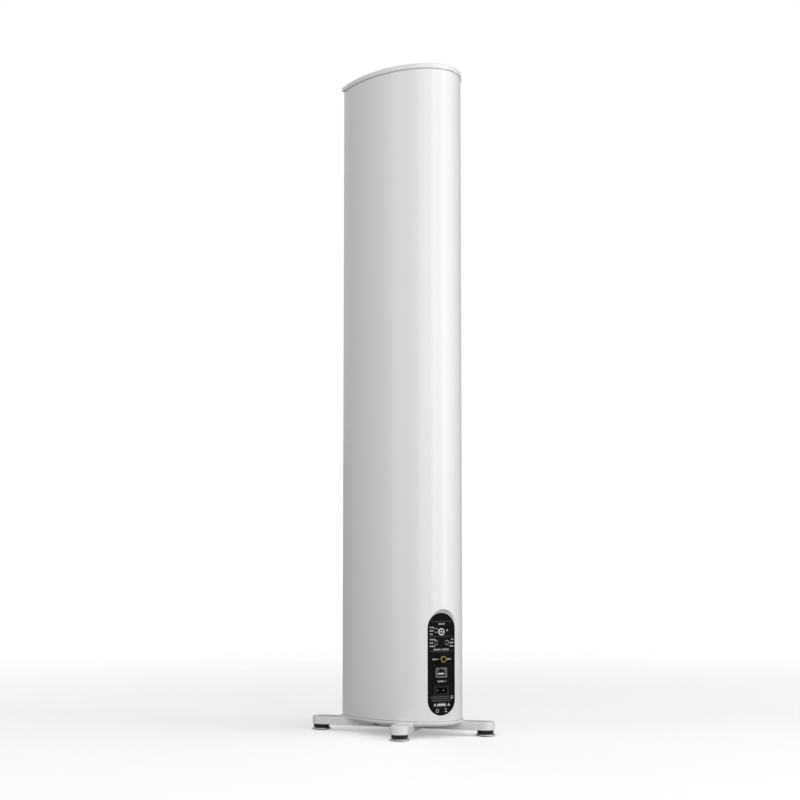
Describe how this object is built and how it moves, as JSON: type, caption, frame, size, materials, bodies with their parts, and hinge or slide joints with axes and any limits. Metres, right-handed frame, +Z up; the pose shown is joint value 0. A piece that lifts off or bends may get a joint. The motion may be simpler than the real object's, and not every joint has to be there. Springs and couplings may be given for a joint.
{
  "type": "column loudspeaker",
  "caption": "Floor-standing active column loudspeaker: D-section white cabinet, thin caps, four-armed stand with levelling feet, black obround rear control panel.",
  "frame": {"origin": "on the floor, under the middle of the box round the four feet", "axes": "+Z up, -Y the front with the grille, +Y the rear with the control panel, +X the loudspeaker's left as it faces the listener"},
  "size_m": [0.1975, 0.2054, 0.88],
  "materials": {
    "white_lacquer": "satin white lacquer on an aluminium extrusion and casting",
    "white_moulding": "satin white moulding",
    "black_panel": "satin black powder coat with pale printing",
    "bright_metal": "bright turned metal",
    "black_steel": "black oxide",
    "fibreboard": "medium-density fibreboard, the front face black",
    "black_casting": "black painted casting",
    "magnet_steel": "ferrite and plated steel",
    "surround_rubber": "matt rubber",
    "cone_pulp": "dark filled polypropylene",
    "coil_metal": "aluminium former with copper wire",
    "spider_cloth": "impregnated cotton",
    "black_moulding": "black moulded plastic",
    "ribbon_film": "thin folded film with metal tracks",
    "grille_moulding": "black moulded plastic",
    "grille_fabric": "black knitted acoustic cloth",
    "lens_plastic": "clear lens",
    "gold_plate": "gold plate",
    "tin_plate": "tin-plated steel",
    "circuit_board": "green glass-fibre board",
    "board_components": "electronic components and their bracket",
    "wire_sleeve": "braided sleeve"
  },
  "bodies": {
    "cabinet": {"baffle_screws": "black_steel", "board_parts": "board_components", "bottom_cap": "white_moulding", "cabinet_shell": "white_lacquer", "coax_insulator": "black_moulding", "coax_jack": "gold_plate", "control_panel": "black_panel", "cross_braces": "fibreboard", "driver_screws": "black_steel", "ethernet_insert": "black_moulding", "ethernet_jack": "tin_plate", "front_baffle": "fibreboard", "inlet_pins": "tin_plate", "main_board": "circuit_board", "mains_inlet": "black_moulding", "midrange_basket": "black_casting", "midrange_chamber": "fibreboard", "midrange_motor": "magnet_steel", "midrange_spider": "spider_cloth", "midrange_surround": "surround_rubber", "panel_bezel": "white_moulding", "power_supply": "board_components", "setup_button_ring": "bright_metal", "stand_base": "white_lacquer", "stand_bolts": "black_steel", "status_lens": "lens_plastic", "top_cap": "white_moulding", "tweeter_diaphragm": "ribbon_film", "tweeter_faceplate": "black_moulding", "tweeter_magnet": "magnet_steel", "wiring_loom": "wire_sleeve", "woofer_lower_basket": "black_casting", "woofer_lower_motor": "magnet_steel", "woofer_lower_spider": "spider_cloth", "woofer_lower_surround": "surround_rubber", "woofer_upper_basket": "black_casting", "woofer_upper_motor": "magnet_steel", "woofer_upper_spider": "spider_cloth", "woofer_upper_surround": "surround_rubber"},
    "foot_pad_rear_left": {"foot_pad_rear_left": "bright_metal"},
    "foot_screw_rear_left": {"foot_screw_rear_left": "black_steel"},
    "foot_pad_rear_right": {"foot_pad_rear_right": "bright_metal"},
    "foot_screw_rear_right": {"foot_screw_rear_right": "black_steel"},
    "foot_pad_front_left": {"foot_pad_front_left": "bright_metal"},
    "foot_screw_front_left": {"foot_screw_front_left": "black_steel"},
    "foot_pad_front_right": {"foot_pad_front_right": "bright_metal"},
    "foot_screw_front_right": {"foot_screw_front_right": "black_steel"},
    "midrange_cone": {"midrange_cone": "cone_pulp", "midrange_voice_coil": "coil_metal"},
    "woofer_upper_cone": {"woofer_upper_cone": "cone_pulp", "woofer_upper_voice_coil": "coil_metal"},
    "woofer_lower_cone": {"woofer_lower_cone": "cone_pulp", "woofer_lower_voice_coil": "coil_metal"},
    "setup_button": {"setup_button": "black_moulding"},
    "source_selector": {"source_selector": "black_moulding"},
    "placement_selector": {"placement_selector": "black_moulding"},
    "channel_selector": {"channel_selector": "black_moulding"},
    "grille": {"grille_frame": "grille_moulding", "grille_cloth": "grille_fabric", "grille_magnets": "magnet_steel"}
  },
  "joints": [
    {"name": "foot_rear_left_height", "type": "slide", "parent": "cabinet", "child": "foot_pad_rear_left", "axis": [0, 0, -1], "range_m": [0, 0.005]},
    {"name": "foot_rear_left_turn", "type": "hinge", "parent": "foot_pad_rear_left", "child": "foot_screw_rear_left", "pos_m": [0.063, 0.09, 0.006], "axis": [0, 0, -1], "range_deg": [0, 1445]},
    {"name": "foot_rear_right_height", "type": "slide", "parent": "cabinet", "child": "foot_pad_rear_right", "axis": [0, 0, -1], "range_m": [0, 0.005]},
    {"name": "foot_rear_right_turn", "type": "hinge", "parent": "foot_pad_rear_right", "child": "foot_screw_rear_right", "pos_m": [-0.063, 0.09, 0.006], "axis": [0, 0, -1], "range_deg": [0, 1445]},
    {"name": "foot_front_left_height", "type": "slide", "parent": "cabinet", "child": "foot_pad_front_left", "axis": [0, 0, -1], "range_m": [0, 0.005]},
    {"name": "foot_front_left_turn", "type": "hinge", "parent": "foot_pad_front_left", "child": "foot_screw_front_left", "pos_m": [0.086, -0.09, 0.006], "axis": [0, 0, -1], "range_deg": [0, 1445]},
    {"name": "foot_front_right_height", "type": "slide", "parent": "cabinet", "child": "foot_pad_front_right", "axis": [0, 0, -1], "range_m": [0, 0.005]},
    {"name": "foot_front_right_turn", "type": "hinge", "parent": "foot_pad_front_right", "child": "foot_screw_front_right", "pos_m": [-0.086, -0.09, 0.006], "axis": [0, 0, -1], "range_deg": [0, 1445]},
    {"name": "midrange_stroke", "type": "slide", "parent": "cabinet", "child": "midrange_cone", "axis": [0, -1, 0], "range_m": [-0.0015, 0.0015], "stiffness_N_per_m": 1500, "deforming": ["midrange_surround", "midrange_spider"]},
    {"name": "woofer_upper_stroke", "type": "slide", "parent": "cabinet", "child": "woofer_upper_cone", "axis": [0, -1, 0], "range_m": [-0.0035, 0.0035], "stiffness_N_per_m": 1000, "deforming": ["woofer_upper_surround", "woofer_upper_spider"]},
    {"name": "woofer_lower_stroke", "type": "slide", "parent": "cabinet", "child": "woofer_lower_cone", "axis": [0, -1, 0], "range_m": [-0.0035, 0.0035], "stiffness_N_per_m": 1000, "deforming": ["woofer_lower_surround", "woofer_lower_spider"]},
    {"name": "setup_button_press", "type": "slide", "parent": "cabinet", "child": "setup_button", "axis": [0, -1, 0], "range_m": [0, 0.0006], "stiffness_N_per_m": 1500},
    {"name": "source_selector_turn", "type": "hinge", "parent": "cabinet", "child": "source_selector", "pos_m": [0.0074, 0.0855, 0.1369], "axis": [0, 1, 0], "range_deg": [-30, 30]},
    {"name": "placement_selector_turn", "type": "hinge", "parent": "cabinet", "child": "placement_selector", "pos_m": [0.0074, 0.0855, 0.1213], "axis": [0, 1, 0], "range_deg": [-30, 30]},
    {"name": "channel_selector_turn", "type": "hinge", "parent": "cabinet", "child": "channel_selector", "pos_m": [-0.0085, 0.0855, 0.1213], "axis": [0, 1, 0], "range_deg": [-30, 30]},
    {"name": "grille_pull", "type": "slide", "parent": "cabinet", "child": "grille", "axis": [0, -1, 0], "range_m": [0, 0.05]}
  ],
  "couplings": [
    {"joint": "foot_rear_left_turn", "follows": "foot_rear_left_height", "rad_per_m": 5026.5},
    {"joint": "foot_rear_right_turn", "follows": "foot_rear_right_height", "rad_per_m": 5026.5},
    {"joint": "foot_front_left_turn", "follows": "foot_front_left_height", "rad_per_m": 5026.5},
    {"joint": "foot_front_right_turn", "follows": "foot_front_right_height", "rad_per_m": 5026.5}
  ]
}
